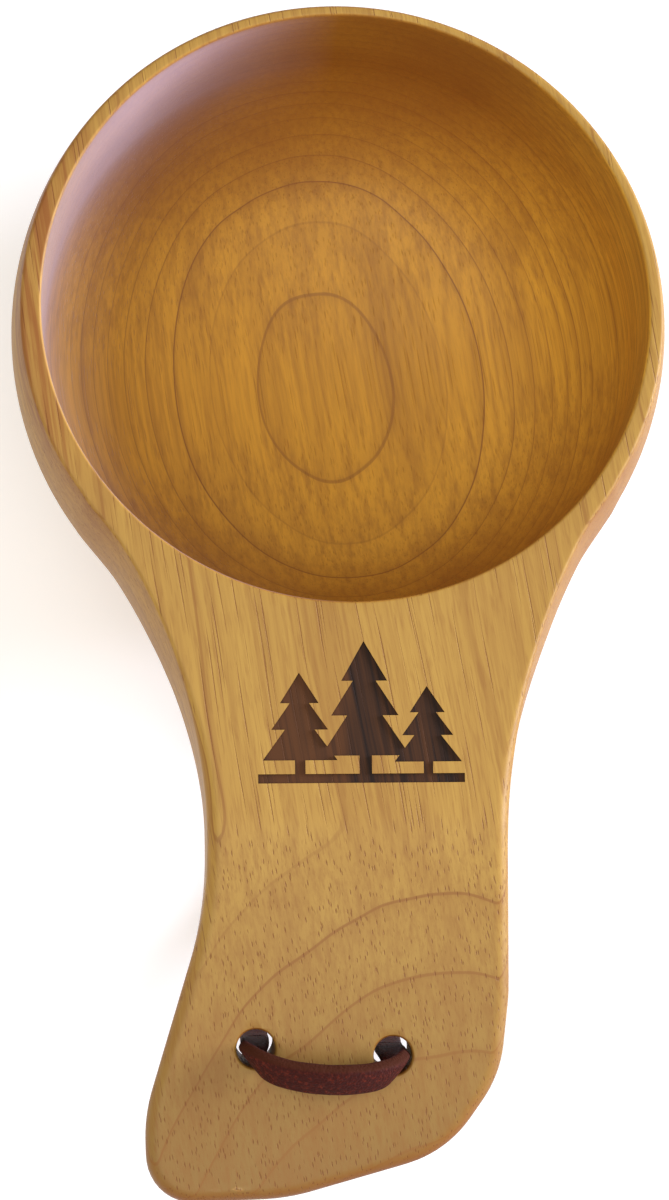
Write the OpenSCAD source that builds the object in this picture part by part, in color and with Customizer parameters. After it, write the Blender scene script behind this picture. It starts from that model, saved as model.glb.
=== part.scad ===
// Carved drinking cup with a broad handle and a leather hanging lace.
// Origin: middle of the foot, on the ground. +Z is up and the handle points along -Y.

/* [Bowl] */
// Height of the rim above the ground
rim_h = 56; // [54:1:58]
// Outer radius of the belly, the widest level of the bowl
belly_r = 48.2; // [48:0.1:50]
// Height of the belly above the ground
belly_h = 42; // [40:1:44]
// Radius of the arc that the outer wall follows from the foot to the rim
wall_arc_r = 57; // [54:1:60]

/* [Hollow] */
// Radius of the hollow at the rim
hollow_r = 44; // [40:0.5:44]
// Depth of the hollow at its middle
hollow_depth = 46.5; // [40:0.5:48]
// How far the hollow's axis lies toward +X from the foot's axis
hollow_x = 0.5; // [0:0.1:0.8]
// How far the hollow's axis lies toward +Y from the foot's axis
hollow_y = 1; // [0:0.1:1.2]
// Radius of the shallow arc that the hollow's floor follows
floor_arc_r = 90; // [80:1:120]
// Radius between the hollow's floor and its wall
corner_r = 24; // [18:1:28]
// Radius of the worn inner edge of the rim
rim_edge_r = 0.8; // [0.4:0.1:1]

/* [Handle] */
// X of the handle's left edge at the neck
neck_left = -20.3; // [-22:0.1:-19]
// X of the handle's right edge at the neck
neck_right = 21.8; // [19:0.1:23]
// Radius of the hollow curve from the bowl to the neck, left side
flank_left_r = 80; // [70:1:90]
// Radius of the hollow curve from the bowl to the neck, right side
flank_right_r = 95; // [85:1:105]
// Distance from the foot's axis to the line where the handle's top starts to slope
bend_at = 75.7; // [72:0.1:78]
// Slope of the handle's end below level, in degrees
slope = 13; // [10:0.5:14]
// Thickness of the handle at the neck
neck_t = 13.5; // [12:0.5:15]
// Thickness of the handle at its end
tip_t = 9.5; // [8:0.5:11]
// Radius between the bowl's outer wall and the handle's underside
under_fillet_r = 14; // [10:1:15]

/* [Lace] */
// Width of the leather lace
lace_w = 4; // [3:0.2:4]
// Thickness of the leather lace
lace_t = 1.6; // [1.2:0.1:1.7]
// Diameter of the two lace holes
hole_d = 5.4; // [5.2:0.1:6]

/* [Burnt mark] */
// Depth of the burnt mark below the handle's top
mark_depth = 0.4; // [0.2:0.1:0.6]

/* [Hidden] */
$fn = 96;
wood = "burlywood";
leather = "saddlebrown";

// The outer wall's arc, in the plane of radius and height.
wall_arc_x = belly_r - wall_arc_r;
rim_outer_r = wall_arc_x + sqrt(pow(wall_arc_r, 2) - pow(rim_h - belly_h, 2));

// The hollow: a floor arc, a corner arc that touches it from inside, and an upright wall.
floor_h = rim_h - hollow_depth;
corner_x = hollow_r - corner_r;
corner_h = floor_h + floor_arc_r - sqrt(pow(floor_arc_r - corner_r, 2) - pow(corner_x, 2));
floor_edge_x = corner_x * floor_arc_r / (floor_arc_r - corner_r);

// The two flank arcs touch the straight edges of the neck, and a circle just inside the rim's
// outer edge, so that they cut into the bowl's wall.
touch_r = rim_outer_r - 0.3;
flank_left_x = neck_left - flank_left_r;
flank_left_y = -sqrt(pow(touch_r + flank_left_r, 2) - pow(flank_left_x, 2));
flank_right_x = neck_right + flank_right_r;
flank_right_y = -sqrt(pow(touch_r + flank_right_r, 2) - pow(flank_right_x, 2));

// The handle's end, seen from above: each corner is [x, y, radius].
end_corners = [
    [neck_left, flank_left_y - 9, 50], [-29, -114, 22], [-28.6, -126, 6.5], [-9, -125.4, 30],
    [13, -119.5, 16], [20.6, -109, 16], [neck_right, -98, 20]
];
end_y = -127.5;

// The handle from the side: each corner is [y, z, radius].
slope_end_h = rim_h - (-end_y - bend_at) * tan(slope);
under_h = rim_h - neck_t;
side_corners = [
    [-bend_at, rim_h, 25], [end_y, slope_end_h, 3], [end_y, slope_end_h - tip_t, 4],
    [-bend_at, under_h, 40]
];

// The fillet below the handle touches its underside and runs a little into the bowl's outer wall.
fillet_bite = 0.5;
fillet_h = under_h - under_fillet_r;
fillet_reach = wall_arc_r + under_fillet_r - fillet_bite;
fillet_x = wall_arc_x + sqrt(pow(fillet_reach, 2) - pow(belly_h - fillet_h, 2));

// Lace holes on the sloping end: [x, distance down the slope].
holes = [[-13.7, 30.4], [5.5, 31.6]];

// Route of the lace over the sloping end, from under the left hole to under the right one:
// [x, toward the bowl, above the slope], counted from the bend line along the slope.
bridge_route = [
    [-13.4, -31, -10.4], [-13.5, -31, -8], [-13.8, -31, -5], [-14.1, -31, -2.5],
    [-14.2, -31.2, -0.5], [-13.7, -31.6, 1.3], [-12.6, -32.2, 2.9], [-10.7, -32.9, 4.1],
    [-7.9, -33.5, 4.9], [-4.4, -33.9, 5.2], [-0.9, -34, 5], [1.9, -33.9, 4.2], [4, -33.6, 3],
    [5.4, -33.1, 1.4], [6, -32.6, -0.5], [6, -32.3, -2.5], [5.9, -32.2, -5], [5.8, -32.2, -8],
    [5.7, -32.2, -10.4]
];
// The way the lace's width leans: over the slope, and below the left and the right hole. It makes a
// quarter turn in between, and lies against the lower side of each hole.
bridge_lean = [0, 1, 0.7];
left_hole_lean = [-1, 0, 0];
right_hole_lean = [1, 0, 0];

// Routes of the two hanging strands, from the lower mouths of their holes to the knot on the
// ground. Their width lies along X.
strand_left_route = [
    [-13.4, -103.6, 38.9], [-13.4, -102.9, 35.8], [-13.4, -101.9, 32.5], [-13.4, -100.7, 29],
    [-13.4, -99.3, 25.4], [-13.4, -97.8, 21.8], [-13.3, -96, 18.2], [-13.2, -93.9, 14.8],
    [-13, -91.4, 11.4], [-12.5, -88.4, 8.2], [-11.9, -84.8, 5.4], [-11.2, -80.6, 3.2],
    [-10.6, -76, 1.8], [-9.7, -71.2, 1.1], [-8.5, -66.4, 0.9], [-6.9, -61.6, 1.1],
    [-5, -57, 1.9], [-3.4, -52.6, 3]
];
strand_right_route = [
    [5.7, -104.7, 38.6], [5.8, -104, 35.6], [5.9, -103, 32.4], [6, -101.7, 29],
    [6.2, -100.3, 25.4], [6.3, -98.8, 21.8], [6.5, -97, 18.2], [6.7, -94.9, 14.8],
    [6.9, -92.4, 11.4], [7.1, -89.4, 8.2], [7.3, -85.8, 5.4], [7.3, -81.6, 3.2], [7, -77, 1.8],
    [6.5, -72.1, 1.1], [5.7, -67.2, 0.9], [4.7, -62.2, 1.1], [3.6, -57.4, 1.9], [2.6, -52.6, 3]
];
lean_on_ground = [1, 0, 0];
turning_rings = 8;

// The knot is a short barrel, and the two cut ends lie beyond it.
knot_at = [-0.4, -48, 3.6];
knot_d = 7.2;
knot_l = 8.6;
tail_l = 13;

function unit(v) = v / norm(v);

// Points of an arc of radius r about centre c, from angle a to angle b.
function arc(c, r, a, b, steps = 8) =
    [for (i = [0:steps]) c + r * [cos(a + (b - a) * i / steps), sin(a + (b - a) * i / steps)]];

// The corner at b between a and c, rounded to radius r, as points of its arc.
function rounded(a, b, c, r) =
    let (u = unit(a - b), v = unit(c - b),
         half = acos(u * v) / 2,
         centre = b + unit(u + v) * r / sin(half),
         from = b + u * r / tan(half) - centre,
         turn = (u.x * v.y - u.y * v.x > 0 ? 1 : -1) * (180 - 2 * half),
         start = atan2(from.y, from.x))
    arc(centre, r, start, start - turn);

function flat(p) = [p.x, p.y];

// The points of an open outline whose inner corners are rounded, each [x, y, radius].
function soft_line(first, corners, last) =
    let (p = concat([first], [for (k = corners) flat(k)], [last]))
    [for (i = [0:len(corners) - 1]) each rounded(p[i], p[i + 1], p[i + 2], corners[i][2])];

// A flat lace swept along a route. Its width points as nearly as it can along first, turns to
// point along middle after the first few rings, and turns to last over the last ones.
module swept_lace(route, first, middle, last) {
    n = len(route);
    half_w = lace_w / 2;
    half_t = lace_t / 2;
    cut = lace_t / 4;
    section = [
        [half_w, half_t - cut], [half_w - cut, half_t], [cut - half_w, half_t], [-half_w, half_t - cut],
        [-half_w, cut - half_t], [cut - half_w, -half_t], [half_w - cut, -half_t], [half_w, cut - half_t]
    ];
    sides = len(section);
    points = [for (i = [0:n - 1])
        let (along = unit(route[min(i + 1, n - 1)] - route[max(i - 1, 0)]),
             go = max(0, min(i / turning_rings, 1)),
             end = max(0, min((n - 1 - i) / turning_rings, 1)),
             lean = first * (1 - go) + middle * (go + end - 1) + last * (1 - end),
             across = unit(lean - (lean * along) * along),
             face = cross(along, across))
        each [for (s = section) route[i] + s.x * across + s.y * face]];
    faces = concat(
        [[for (j = [0:sides - 1]) j]],
        [for (i = [0:n - 2], j = [0:sides - 1])
            let (k = (j + 1) % sides)
            each [[i * sides + j, (i + 1) * sides + j, (i + 1) * sides + k],
                  [i * sides + j, (i + 1) * sides + k, i * sides + k]]],
        [[for (j = [sides - 1:-1:0]) (n - 1) * sides + j]]
    );
    polyhedron(points, faces);
}

// Puts its children in the slope's own frame, whose origin is on the bend line.
module on_slope() {
    translate([0, -bend_at, rim_h]) rotate([slope, 0, 0]) children();
}

module bowl_body() {
    rotate_extrude() intersection() {
        translate([wall_arc_x, belly_h]) circle(r = wall_arc_r);
        square([belly_r + 1, rim_h]);
    }
}

// What is carved out of the bowl, with the worn edge of the rim.
module hollow() {
    translate([hollow_x, hollow_y, 0]) rotate_extrude() {
        intersection() {
            translate([0, floor_h + floor_arc_r]) circle(r = floor_arc_r);
            union() {
                square([floor_edge_x, rim_h + 1]);
                intersection() {
                    translate([corner_x, corner_h]) circle(r = corner_r);
                    square([hollow_r, rim_h]);
                }
                translate([0, corner_h]) square([hollow_r, rim_h + 1 - corner_h]);
            }
        }
        difference() {
            translate([hollow_r - 1, rim_h - rim_edge_r]) square([1 + rim_edge_r, rim_edge_r + 1]);
            translate([hollow_r + rim_edge_r, rim_h - rim_edge_r]) circle(r = rim_edge_r, $fn = 24);
        }
    }
}

// The handle and both flanks, seen from above.
module handle_outline() {
    left_touch = atan2(-flank_left_y, -flank_left_x);
    right_touch = atan2(-flank_right_y, -flank_right_x);
    polygon(concat(
        [[0, 0]],
        arc([flank_left_x, flank_left_y], flank_left_r, left_touch, 0, 16),
        soft_line([neck_left, flank_left_y], end_corners, [neck_right, flank_right_y]),
        arc([flank_right_x, flank_right_y], flank_right_r, 180, right_touch, 16)
    ));
}

// The handle from the side, as an outline in Y and Z swept along X.
module handle_side() {
    rotate([90, 0, 90]) translate([0, 0, -50]) linear_extrude(100) polygon(concat(
        [[0, rim_h]],
        soft_line([0, rim_h], side_corners, [0, under_h]),
        [[0, under_h]]
    ));
}

// The ring under the handle that rounds it into the bowl.
module under_fillet() {
    rotate_extrude() difference() {
        translate([0, fillet_h]) square([fillet_x, rim_h - fillet_h]);
        translate([fillet_x, fillet_h]) circle(r = under_fillet_r);
    }
}

module handle_body() {
    intersection() {
        linear_extrude(rim_h) handle_outline();
        union() {
            handle_side();
            under_fillet();
        }
    }
}

module lace_holes() {
    for (h = holes) on_slope() translate([h.x, -h.y, 0])
        cylinder(h = 3 * neck_t, d = hole_d, center = true);
}

// A plain fir tree of three tiers on a trunk, standing on the X axis.
module fir(height, width) {
    polygon([
        [-width * 0.07, 0], [-width * 0.07, height * 0.14], [-width * 0.5, height * 0.14],
        [-width * 0.2, height * 0.44], [-width * 0.38, height * 0.44], [-width * 0.13, height * 0.7],
        [-width * 0.26, height * 0.7], [0, height],
        [width * 0.26, height * 0.7], [width * 0.13, height * 0.7], [width * 0.38, height * 0.44],
        [width * 0.2, height * 0.44], [width * 0.5, height * 0.14], [width * 0.07, height * 0.14],
        [width * 0.07, 0]
    ]);
}

// Three firs on a strip of ground, burnt a little below the handle's top.
module burnt_mark() {
    translate([1.3, -69, rim_h - mark_depth]) linear_extrude(mark_depth + 1) {
        translate([-8.6, 1.2]) fir(14.5, 10.5);
        translate([0.6, 1.2]) fir(19, 12.5);
        translate([9.4, 1.2]) fir(12.5, 9.5);
        translate([-14.5, 0]) square([29, 1.3]);
    }
}

module cup() {
    color(wood) difference() {
        union() {
            bowl_body();
            handle_body();
        }
        hollow();
        lace_holes();
        burnt_mark();
    }
}

module lace_bridge() {
    color(leather) on_slope()
        swept_lace(bridge_route, left_hole_lean, bridge_lean, right_hole_lean);
}

module lace_strand_left() {
    color(leather)
        swept_lace(strand_left_route, -lean_on_ground, -lean_on_ground, -lean_on_ground);
}

module lace_strand_right() {
    color(leather)
        swept_lace(strand_right_route, lean_on_ground, lean_on_ground, lean_on_ground);
}

// The knot that joins the strands, with the lace's two cut ends beyond it.
module lace_knot() {
    color(leather) translate(knot_at) {
        rotate([-90, 0, 0]) translate([0, 0, -knot_l / 2]) rotate_extrude($fn = 48) intersection() {
            square([knot_d / 2, knot_l]);
            translate([0, knot_l / 2]) circle(r = knot_l / 2 + 0.8);
        }
        for (side = [-1, 1]) translate([side * 1.4, knot_l / 2 - 1, -knot_at.z + lace_t / 2])
            rotate([0, 0, -side * 16]) translate([0, (tail_l + 1) / 2, 0])
                cube([lace_w, tail_l + 1, lace_t], center = true);
    }
}

cup();
lace_bridge();
lace_strand_left();
lace_strand_right();
lace_knot();
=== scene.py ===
"""A carved wooden drinking cup with a broad handle and a leather lace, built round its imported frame."""

import math

import bmesh
import bpy
import numpy as np
from bpy.props import FloatProperty, FloatVectorProperty, IntProperty, PointerProperty
from bpy.types import Operator, Panel, PropertyGroup
from mathutils import Matrix, Vector
from mathutils.geometry import delaunay_2d_cdt


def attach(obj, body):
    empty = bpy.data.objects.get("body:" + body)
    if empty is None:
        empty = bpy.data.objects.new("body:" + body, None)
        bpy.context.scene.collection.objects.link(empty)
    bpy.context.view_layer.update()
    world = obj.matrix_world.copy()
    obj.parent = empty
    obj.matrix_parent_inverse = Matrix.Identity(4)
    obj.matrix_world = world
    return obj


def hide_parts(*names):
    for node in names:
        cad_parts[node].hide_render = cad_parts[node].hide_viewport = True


bl_info = {
    "name": "Carved Wooden Cup",
    "version": (1, 0, 0),
    "blender": (4, 5, 0),
    "location": "View3D > Sidebar > Wooden Cup",
    "description": "Builds a carved wooden cup and its leather lace round the packed frame",
    "category": "Object",
}

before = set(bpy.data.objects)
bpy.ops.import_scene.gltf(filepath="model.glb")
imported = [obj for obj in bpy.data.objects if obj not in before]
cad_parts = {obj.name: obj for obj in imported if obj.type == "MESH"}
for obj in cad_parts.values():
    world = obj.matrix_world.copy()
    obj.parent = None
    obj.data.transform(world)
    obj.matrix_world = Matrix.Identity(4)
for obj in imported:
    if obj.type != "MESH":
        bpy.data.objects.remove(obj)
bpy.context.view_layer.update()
MM = 0.001


def linear(colour):
    """An sRGB hex colour such as #c59851 as linear red, green, blue and an alpha of 1."""
    parts = [int(colour[i : i + 2], 16) / 255 for i in (1, 3, 5)]
    return [c / 12.92 if c <= 0.04045 else ((c + 0.055) / 1.055) ** 2.4 for c in parts] + [1.0]


def length(name, description, default):
    """A property for a length, in metres."""
    return FloatProperty(
        name=name, description=description, default=default, min=0.0,
        subtype="DISTANCE", unit="LENGTH", precision=5,
    )


def colour(name, description, default):
    """A property for a colour, whose default is an sRGB hex value."""
    return FloatVectorProperty(
        name=name, description=description, default=linear(default), size=4, min=0.0, max=1.0, subtype="COLOR"
    )


class CupSizes(PropertyGroup):
    rim_height: length("Rim height", "Height of the rim above the ground", 0.056)
    belly_radius: length("Belly radius", "Outer radius of the widest level of the bowl", 0.0482)
    belly_height: length("Belly height", "Height of the widest level of the bowl", 0.042)
    wall_arc: length("Wall arc", "Radius of the arc that the outer wall follows upwards", 0.057)
    hollow_radius: length("Hollow radius", "Radius of the hollow at the rim", 0.044)
    hollow_depth: length("Hollow depth", "Depth of the hollow at its middle", 0.0465)
    floor_arc: length("Floor arc", "Radius of the shallow arc of the hollow's floor", 0.09)
    corner_radius: length("Corner radius", "Radius between the hollow's floor and its wall", 0.024)
    neck_thickness: length("Neck thickness", "Thickness of the handle at the neck", 0.0135)
    tip_thickness: length("Tip thickness", "Thickness of the handle at its end", 0.0095)
    bend: length("Bend", "Distance from the foot's axis to where the handle's top starts to slope", 0.0757)
    slope: FloatProperty(
        name="Slope", description="Slope of the handle's end", default=math.radians(13),
        subtype="ANGLE", unit="ROTATION",
    )
    rim_edge: length("Rim edge", "Radius of the bowl's worn top edges", 0.0006)
    handle_edge: length("Handle edge", "Radius of the handle's top edges", 0.0019)
    under_edge: length("Under edge", "Radius of the edges below the handle", 0.0038)
    hole: length("Hole", "Diameter of the two lace holes", 0.0054)
    burn_depth: length("Burn depth", "Depth of the burnt mark below the wood", 0.0004)
    columns: IntProperty(
        name="Columns", description="Points round the bowl's far side", default=210, min=60, max=400
    )
    rows: IntProperty(
        name="Rows", description="Points from the top edge to the foot", default=58, min=20, max=120
    )


class LaceSizes(PropertyGroup):
    width: length("Width", "Width of the leather lace", 0.004)
    thickness: length("Thickness", "Thickness of the leather lace", 0.0016)
    knot_width: length("Knot width", "Width of the knot over its wrap", 0.0072)
    knot_length: length("Knot length", "Length of the knot along the lace", 0.0086)
    tail: length("Tail", "Length of each cut end beyond the knot", 0.013)


class WoodFinish(PropertyGroup):
    pale: colour("Pale wood", "Early growth, planed along the grain", "#c49948")
    mellow: colour("Mellow wood", "Late growth of each ring", "#98662f")
    end_grain: colour("End grain", "Wood cut across the grain, which takes up more oil", "#985d20")
    pore: colour("Pores", "Open pores along the grain", "#784019")
    burnt: colour("Burnt wood", "The darkest part of the burnt mark", "#200f05")
    singed: colour("Singed wood", "The lighter part of the burnt mark", "#5a3415")
    # Painted light: the hollow's wood is painted lighter and more golden than the outside, standing in for
    # the light inside the hollow.
    inside: colour("Inside", "Wood of the hollow, mellowed by what the cup has held", "#e2aa3b")
    # Painted shade and painted sky reflection: the darker, greyer wood towards the handle's end, whose slope
    # tilts away from the light.
    end_shade: colour("Handled wood", "The handle's end, greyed by use", "#7a5b36")
    red: colour("Red wood", "Redder growth in the bowl's left edge", "#935423")
    # Painted shade: this tint darkens and warms the surfaces that face to the side, as shade would.
    flank: colour("Flanks", "Tint of the sides, where the oil has sunk in deeper", "#ece0bd")
    # Painted reflection: tint of the sheen that stands in for the window's light on the side of the hollow
    # that faces it.
    window_sheen: colour("Haze", "Sheen of the oil where it has dried hazy", "#e2dcff")
    ring: length("Ring width", "Distance between two growth rings", 0.00254)


class LeatherFinish(PropertyGroup):
    face: colour("Grain side", "Oiled top side of the leather", "#441209")
    deep: colour("Creases", "Hollows of the leather's grain", "#240a06")
    worn: colour("Worn leather", "Rubbed high places of the leather", "#742815")
    cut: colour("Cut edge", "Raw edges of the leather", "#48200f")
    bloom: colour("Bloom", "Faint sheen of the oil on the leather", "#d3c2f2")


class StageLook(PropertyGroup):
    floor: colour("Floor", "Colour of the floor", "#f7f6f4")
    window: colour("Window", "Cool daylight from the right", "#dfe6ff")
    soft: colour("Soft light", "Neutral light from above", "#fffaf2")


# Shared numpy helpers. Shapes are worked out in millimetres and put into meshes in metres.


def smooth_step(value, start, end):
    """0 up to start, 1 from end on, and a cubic ease between them."""
    t = np.clip((value - start) / (end - start), 0, 1)
    return t * t * (3 - 2 * t)


def unit(vectors):
    """Each vector divided by its length."""
    return vectors / np.maximum(np.linalg.norm(vectors, axis=-1, keepdims=True), 1e-12)


def round_union(a, b, radius):
    """Union of two distance fields, with an inner corner rounded to radius."""
    near = np.hypot(np.maximum(radius - a, 0), np.maximum(radius - b, 0))
    return np.maximum(radius, np.minimum(a, b)) - near


def round_overlap(a, b, radius):
    """Intersection of two distance fields, with an outer edge rounded to radius."""
    near = np.hypot(np.maximum(radius + a, 0), np.maximum(radius + b, 0))
    return np.minimum(-radius, np.maximum(a, b)) + near


def melted_union(a, b, reach):
    """Union of two distance fields that runs one into the other within reach."""
    h = np.maximum(reach - np.abs(a - b), 0) / reach
    return np.minimum(a, b) - h * h * reach / 4


def spaced(points, count, closed=False):
    """count points at even steps along a line of points."""
    line = np.vstack([points, points[:1]]) if closed else points
    along = np.concatenate([[0], np.cumsum(np.linalg.norm(np.diff(line, axis=0), axis=1))])
    at = np.linspace(0, along[-1], count + 1)[:-1] if closed else np.linspace(0, along[-1], count)
    return np.stack([np.interp(at, along, line[:, k]) for k in range(line.shape[1])], axis=1)


def flowing(points, steps=8):
    """A Catmull-Rom curve through the points, with steps samples for each stretch."""
    p = np.asarray(points, float)
    p = np.vstack([2 * p[0] - p[1], p, 2 * p[-1] - p[-2]])
    t = (np.arange(steps) / steps)[None, :, None]
    a, b, c, d = (p[i : len(p) - 3 + i][:, None, :] for i in range(4))
    curve = 0.5 * (2 * b + (c - a) * t + (2 * a - 5 * b + 4 * c - d) * t**2 + (3 * b - a - 3 * c + d) * t**3)
    return np.vstack([curve.reshape(-1, p.shape[1]), p[-2:-1]])


def new_piece(name, points, faces, material, node):
    """A smooth mesh object from points in millimetres, which rides on the frame and stands for a CAD node."""
    mesh = bpy.data.meshes.new(name)
    mesh.from_pydata((np.asarray(points) * MM).tolist(), [], faces)
    mesh.materials.append(material)
    mesh.shade_smooth()
    piece = bpy.data.objects.new(name, mesh)
    bpy.context.scene.collection.objects.link(piece)
    outwards(mesh)
    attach(piece, "root")
    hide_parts(node)
    return piece


def outwards(mesh):
    """Turns the faces of a closed mesh outwards."""
    work = bmesh.new()
    work.from_mesh(mesh)
    bmesh.ops.recalc_face_normals(work, faces=work.faces)
    work.to_mesh(mesh)
    work.free()


def grid_faces(rows, columns, wrap=True, first=0):
    """Quads of a grid of rows by columns, numbered along each row."""
    i = np.arange(rows - 1)[:, None] * columns
    j = np.arange(columns if wrap else columns - 1)[None, :]
    k = (j + 1) % columns
    quads = np.stack([i + j, i + k, i + columns + k, i + columns + j], axis=-1)
    return (quads.reshape(-1, 4) + first).tolist()


# The cup.

NECK_LEFT, NECK_RIGHT = -20.3, 21.8
FLANK_LEFT, FLANK_RIGHT = 80.0, 95.0
HOLE_PLACES = ((-13.7, 30.4), (5.5, 31.6))
HANDLE_END = 127.5
FILLET = 14.0
FOOT_EDGE = 1.6
# How far from the bend line the handle's top and underside start to turn.
TOP_TURN, UNDER_TURN = 2.2, 6.0
# How far apart the bowl's wall and the handle start to melt together.
MELT = 1.2
HOLLOW_AT = (0.5, 1.0)
HOLLOW_COLUMNS = 260
# Shifts the growth rings, as a share of a ring's width.
RING_PHASE = 0.63
# Each fir of the mark: x, height, width.
FIRS = ((-8.6, 14.5, 10.5), (0.6, 19.0, 12.5), (9.4, 12.5, 9.5))
MARK_AT = (1.3, -69.0)


def rounded_corner(before, corner, after, radius, steps=10):
    """The arc of that radius which touches both lines that meet at corner."""
    u, v = unit(before - corner), unit(after - corner)
    half = math.acos(float(np.clip(u @ v, -1, 1))) / 2
    centre = corner + unit(u + v) * radius / math.sin(half)
    start = corner + u * radius / math.tan(half) - centre
    turn = math.copysign(math.pi - 2 * half, u[0] * v[1] - u[1] * v[0])
    angle = math.atan2(start[1], start[0]) - turn * np.linspace(0, 1, steps + 1)
    return centre + radius * np.stack([np.cos(angle), np.sin(angle)], axis=1)


class CupShape:
    """The solid outside of the cup as a distance field in millimetres, negative inside it."""

    def __init__(self, s):
        self.rim, self.belly, self.belly_h = s.rim_height / MM, s.belly_radius / MM, s.belly_height / MM
        self.arc = s.wall_arc / MM
        self.arc_x = self.belly - self.arc
        self.rim_r = self.arc_x + math.sqrt(self.arc**2 - (self.rim - self.belly_h) ** 2)
        self.bend, self.fall = s.bend / MM, math.tan(s.slope)
        self.under = self.rim - s.neck_thickness / MM
        end = self.rim - (HANDLE_END - self.bend) * self.fall - s.tip_thickness / MM
        self.under_fall = (self.under - end) / (HANDLE_END - self.bend)
        self.under_edge = s.under_edge / MM
        self.make_outline()
        self.make_plan()

    def make_outline(self):
        """The cup seen from above, anticlockwise: left flank, rounded end, right flank, bowl."""
        touch = self.rim_r - 0.3
        left_x = NECK_LEFT - FLANK_LEFT
        left = np.array([left_x, -math.sqrt((touch + FLANK_LEFT) ** 2 - left_x**2)])
        right_x = NECK_RIGHT + FLANK_RIGHT
        right = np.array([right_x, -math.sqrt((touch + FLANK_RIGHT) ** 2 - right_x**2)])
        corners = (
            (NECK_LEFT, left[1] - 9, 50), (-29, -114, 22), (-28.6, -126, 6.5), (-9, -125.4, 30),
            (13, -119.5, 16), (20.6, -109, 16), (NECK_RIGHT, -98, 20),
        )
        line = [np.array(left + [FLANK_LEFT, 0])]
        line += [np.array(c[:2], float) for c in corners]
        line += [np.array([NECK_RIGHT, right[1]])]
        turns = [rounded_corner(line[i], line[i + 1], line[i + 2], c[2]) for i, c in enumerate(corners)]
        a = np.linspace(math.atan2(-left[1], -left[0]), 0, 40)
        b = np.linspace(math.pi, math.atan2(-right[1], -right[0]), 40)
        flank_left = left + FLANK_LEFT * np.stack([np.cos(a), np.sin(a)], axis=1)
        flank_right = right + FLANK_RIGHT * np.stack([np.cos(b), np.sin(b)], axis=1)
        self.handle = np.vstack([[[0, 0]], flank_left, *turns, flank_right])
        start = math.atan2(flank_right[-1, 1], flank_right[-1, 0])
        stop = math.atan2(flank_left[0, 1], flank_left[0, 0]) + 2 * math.pi
        c = np.linspace(start, stop, 240)[1:-1]
        bowl = self.rim_r * np.stack([np.cos(c), np.sin(c)], axis=1)
        self.outline = np.vstack([self.handle[1:], bowl])

    def make_plan(self):
        """Signed distance to the handle's outline, kept on a grid of 0.4 mm."""
        self.step, self.low = 0.4, np.array([-62.0, -142.0])
        nx, ny = 310, 500
        x = self.low[0] + self.step * np.arange(nx)
        y = self.low[1] + self.step * np.arange(ny)
        p = np.stack(np.meshgrid(x, y, indexing="ij"), axis=-1).reshape(-1, 2)
        self.plan = signed_distance(p, self.handle).reshape(nx, ny)

    def plan_at(self, x, y):
        """The plan distance between grid points, by bilinear interpolation."""
        u = np.clip((x - self.low[0]) / self.step, 0, self.plan.shape[0] - 1.001)
        v = np.clip((y - self.low[1]) / self.step, 0, self.plan.shape[1] - 1.001)
        i, j = u.astype(int), v.astype(int)
        u, v = u - i, v - j
        g = self.plan
        near = g[i, j] * (1 - u) + g[i + 1, j] * u
        far = g[i, j + 1] * (1 - u) + g[i + 1, j + 1] * u
        return near * (1 - v) + far * v

    def top(self, y):
        """Height of the top: level, then a slope, joined by a hyperbola."""
        t = -self.bend - y
        return self.rim - self.fall * (t + np.sqrt(t * t + TOP_TURN**2)) / 2

    def top_fall(self, y):
        """How fast the top rises with y."""
        t = -self.bend - y
        return self.fall * (1 + t / np.sqrt(t * t + TOP_TURN**2)) / 2

    def underside(self, y):
        """Height of the handle's underside, joined in the same way as its top."""
        t = -self.bend - y
        return self.under - self.under_fall * (t + np.sqrt(t * t + UNDER_TURN**2)) / 2

    def field(self, p):
        """Wall of revolution, joined to the handle, whose plan is cut to the outline; flat at the foot."""
        x, y, z = p[..., 0], p[..., 1], p[..., 2]
        wall = np.hypot(np.hypot(x, y) - self.arc_x, z - self.belly_h) - self.arc
        swell = np.sqrt(np.maximum(self.arc**2 - (z - self.belly_h) ** 2, 0)) - (self.rim_r - self.arc_x)
        swell = swell * (0.12 + 0.88 * smooth_step(y, -74, -44))
        side = self.plan_at(x, y) - swell
        under = (self.underside(y) - z) * 0.99
        handle = round_overlap(side, round_union(wall, under, FILLET), self.under_edge)
        body = melted_union(wall, handle, MELT)
        return round_overlap(body, -z, FOOT_EDGE)

    def gradient(self, p):
        """Direction in which the field grows fastest, by central differences."""
        steps = np.eye(3) * 0.02
        return np.stack([self.field(p + s) - self.field(p - s) for s in steps], axis=-1) / 0.04

    def top_edge(self):
        """The sharp line where the outside would meet the top: outline points moved until the field is 0."""
        flat = spaced(self.outline, 1600, closed=True)
        for _ in range(8):
            p = np.column_stack([flat, self.top(flat[:, 1])])
            g = self.gradient(p)[:, :2]
            flat = flat - g * (self.field(p) / np.sum(g * g, axis=1))[:, None]
        return flat

    def hits(self, origins, directions):
        """Where rays from inside the cup meet its outside, by halving."""
        near = np.zeros(directions.shape[:-1])
        far = np.full(directions.shape[:-1], 95.0)
        for _ in range(24):
            middle = (near + far) / 2
            inside = self.field(origins + middle[..., None] * directions) < 0
            near = np.where(inside, middle, near)
            far = np.where(inside, far, middle)
        return origins + middle[..., None] * directions


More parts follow.
